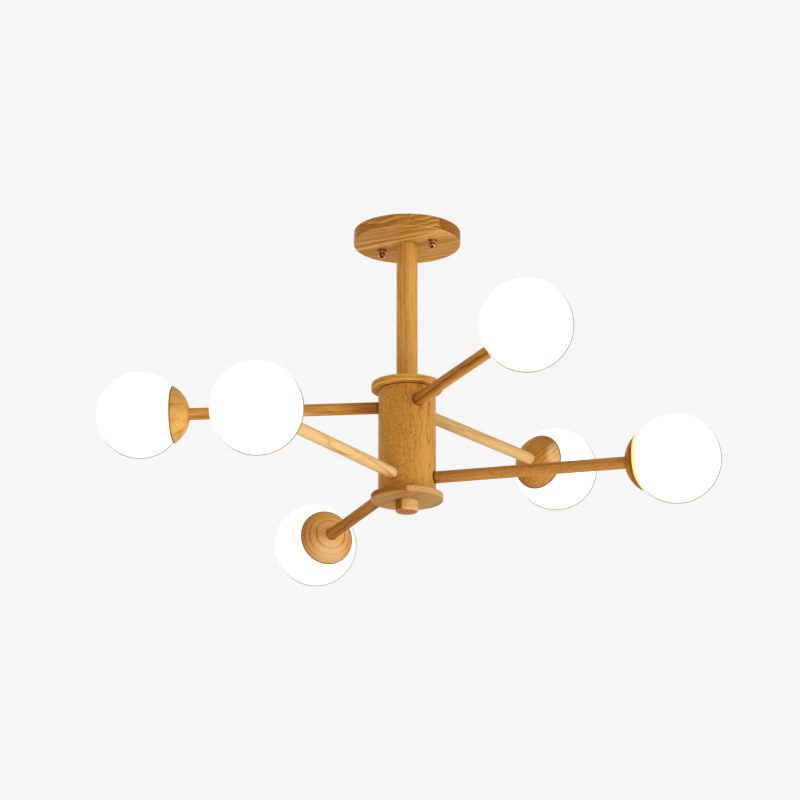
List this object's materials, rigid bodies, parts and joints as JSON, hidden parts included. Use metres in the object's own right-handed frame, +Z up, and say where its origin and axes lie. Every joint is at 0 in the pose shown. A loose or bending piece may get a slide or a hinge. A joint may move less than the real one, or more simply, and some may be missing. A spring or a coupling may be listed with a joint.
{
  "type": "ceiling light",
  "caption": "Wooden ceiling light: a round canopy and stem carry a drum hub whose radial dowel arms end in turned cups with opal glass globes.",
  "frame": {"origin": "centre of the ceiling bracket's top face, on the ceiling", "axes": "+Z up into the ceiling; one upper arm points along -X, and the picture was taken from -Y"},
  "size_m": [0.8583, 0.7888, 0.4195],
  "materials": {
    "turned_wood": "satin lacquer",
    "pale_wood": "satin lacquer",
    "opal_glass": "opal, glossy",
    "frosted_lamp": "frosted",
    "glazed_ceramic": "glazed white ceramic",
    "zinc_steel": "zinc plated",
    "brass": "polished",
    "terminal_plastic": "moulded",
    "silicone": "translucent silicone"
  },
  "bodies": {
    "fixture": {"canopy_disc": "turned_wood", "ceiling_bracket": "zinc_steel", "canopy_studs": "zinc_steel", "stud_lock_nuts": "zinc_steel", "ball_nuts": "brass", "terminal_block": "terminal_plastic", "terminal_screws": "brass", "stem": "turned_wood", "lamp_pipe": "zinc_steel", "pipe_nuts": "zinc_steel", "pipe_washers": "zinc_steel", "hub_top_disc": "turned_wood", "hub_drum": "turned_wood", "hub_bottom_disc": "turned_wood", "finial": "turned_wood", "finial_insert": "brass", "arm_pipes": "zinc_steel", "arm_nuts": "zinc_steel", "arm_washers": "zinc_steel", "neck_gaskets": "silicone", "arm_1": "pale_wood", "cup_1": "turned_wood", "holder_1": "glazed_ceramic", "arm_2": "turned_wood", "cup_2": "turned_wood", "holder_2": "glazed_ceramic", "arm_3": "turned_wood", "cup_3": "turned_wood", "holder_3": "glazed_ceramic", "arm_4": "pale_wood", "cup_4": "turned_wood", "holder_4": "glazed_ceramic", "arm_5": "turned_wood", "cup_5": "turned_wood", "holder_5": "glazed_ceramic", "arm_6": "turned_wood", "cup_6": "turned_wood", "holder_6": "glazed_ceramic"},
    "globe_1": {"globe_1": "opal_glass"},
    "bulb_1": {"bulb_1": "frosted_lamp"},
    "globe_2": {"globe_2": "opal_glass"},
    "bulb_2": {"bulb_2": "frosted_lamp"},
    "globe_3": {"globe_3": "opal_glass"},
    "bulb_3": {"bulb_3": "frosted_lamp"},
    "globe_4": {"globe_4": "opal_glass"},
    "bulb_4": {"bulb_4": "frosted_lamp"},
    "globe_5": {"globe_5": "opal_glass"},
    "bulb_5": {"bulb_5": "frosted_lamp"},
    "globe_6": {"globe_6": "opal_glass"},
    "bulb_6": {"bulb_6": "frosted_lamp"}
  },
  "joints": [
    {"name": "globe_1_off", "type": "slide", "parent": "fixture", "child": "globe_1", "axis": [0.5, 0.866, 0], "range_m": [0, 0.09]},
    {"name": "bulb_1_pull", "type": "slide", "parent": "fixture", "child": "bulb_1", "axis": [0.5, 0.866, 0], "range_m": [0, 0.014]},
    {"name": "globe_2_off", "type": "slide", "parent": "fixture", "child": "globe_2", "axis": [-0.4571, 0.8894, 0], "range_m": [0, 0.09]},
    {"name": "bulb_2_pull", "type": "slide", "parent": "fixture", "child": "bulb_2", "axis": [-0.4571, 0.8894, 0], "range_m": [0, 0.014]},
    {"name": "globe_3_off", "type": "slide", "parent": "fixture", "child": "globe_3", "axis": [-1, 0, 0], "range_m": [0, 0.09]},
    {"name": "bulb_3_pull", "type": "slide", "parent": "fixture", "child": "bulb_3", "axis": [-1, 0, 0], "range_m": [0, 0.014]},
    {"name": "globe_4_off", "type": "slide", "parent": "fixture", "child": "globe_4", "axis": [-0.4147, -0.91, 0], "range_m": [0, 0.09]},
    {"name": "bulb_4_pull", "type": "slide", "parent": "fixture", "child": "bulb_4", "axis": [-0.4147, -0.91, 0], "range_m": [0, 0.014]},
    {"name": "globe_5_off", "type": "slide", "parent": "fixture", "child": "globe_5", "axis": [0.5, -0.866, 0], "range_m": [0, 0.09]},
    {"name": "bulb_5_pull", "type": "slide", "parent": "fixture", "child": "bulb_5", "axis": [0.5, -0.866, 0], "range_m": [0, 0.014]},
    {"name": "globe_6_off", "type": "slide", "parent": "fixture", "child": "globe_6", "axis": [0.9863, -0.165, 0], "range_m": [0, 0.09]},
    {"name": "bulb_6_pull", "type": "slide", "parent": "fixture", "child": "bulb_6", "axis": [0.9863, -0.165, 0], "range_m": [0, 0.014]}
  ]
}
